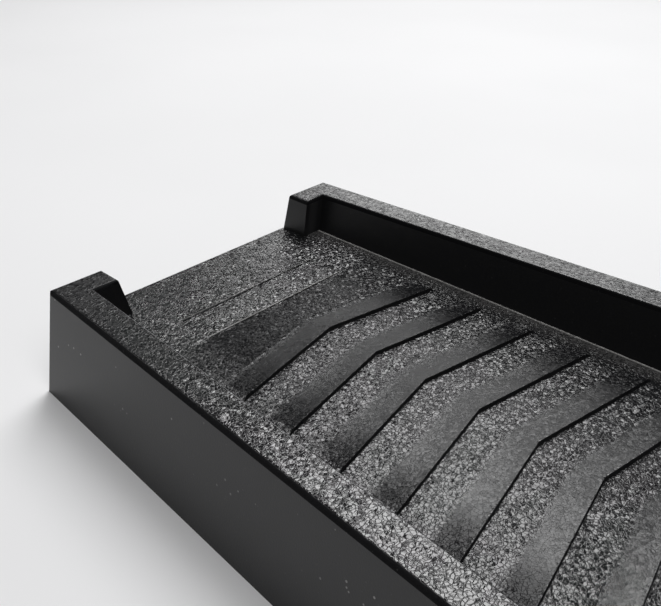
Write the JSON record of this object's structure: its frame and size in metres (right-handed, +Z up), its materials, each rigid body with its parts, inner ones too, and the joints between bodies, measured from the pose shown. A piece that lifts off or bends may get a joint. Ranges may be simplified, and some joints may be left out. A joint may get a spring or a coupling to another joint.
{
  "type": "splash block",
  "caption": "Black moulded splash block: a flared tray with flat rims, a sloping floor with shallow chevron ramps, an open discharge end and a notch in the back wall for a downspout.",
  "frame": {"origin": "centre of the base on the ground, halfway along the length", "axes": "+X across the tray, +Y toward the back wall where the downspout enters, -Y toward the discharge end, +Z up"},
  "size_m": [0.3166, 0.6142, 0.061],
  "materials": {
    "black_plastic": "pebble grain on the upper faces, smooth satin on the outer walls"
  },
  "bodies": {
    "root": {"splash_block": "black_plastic"}
  },
  "joints": []
}
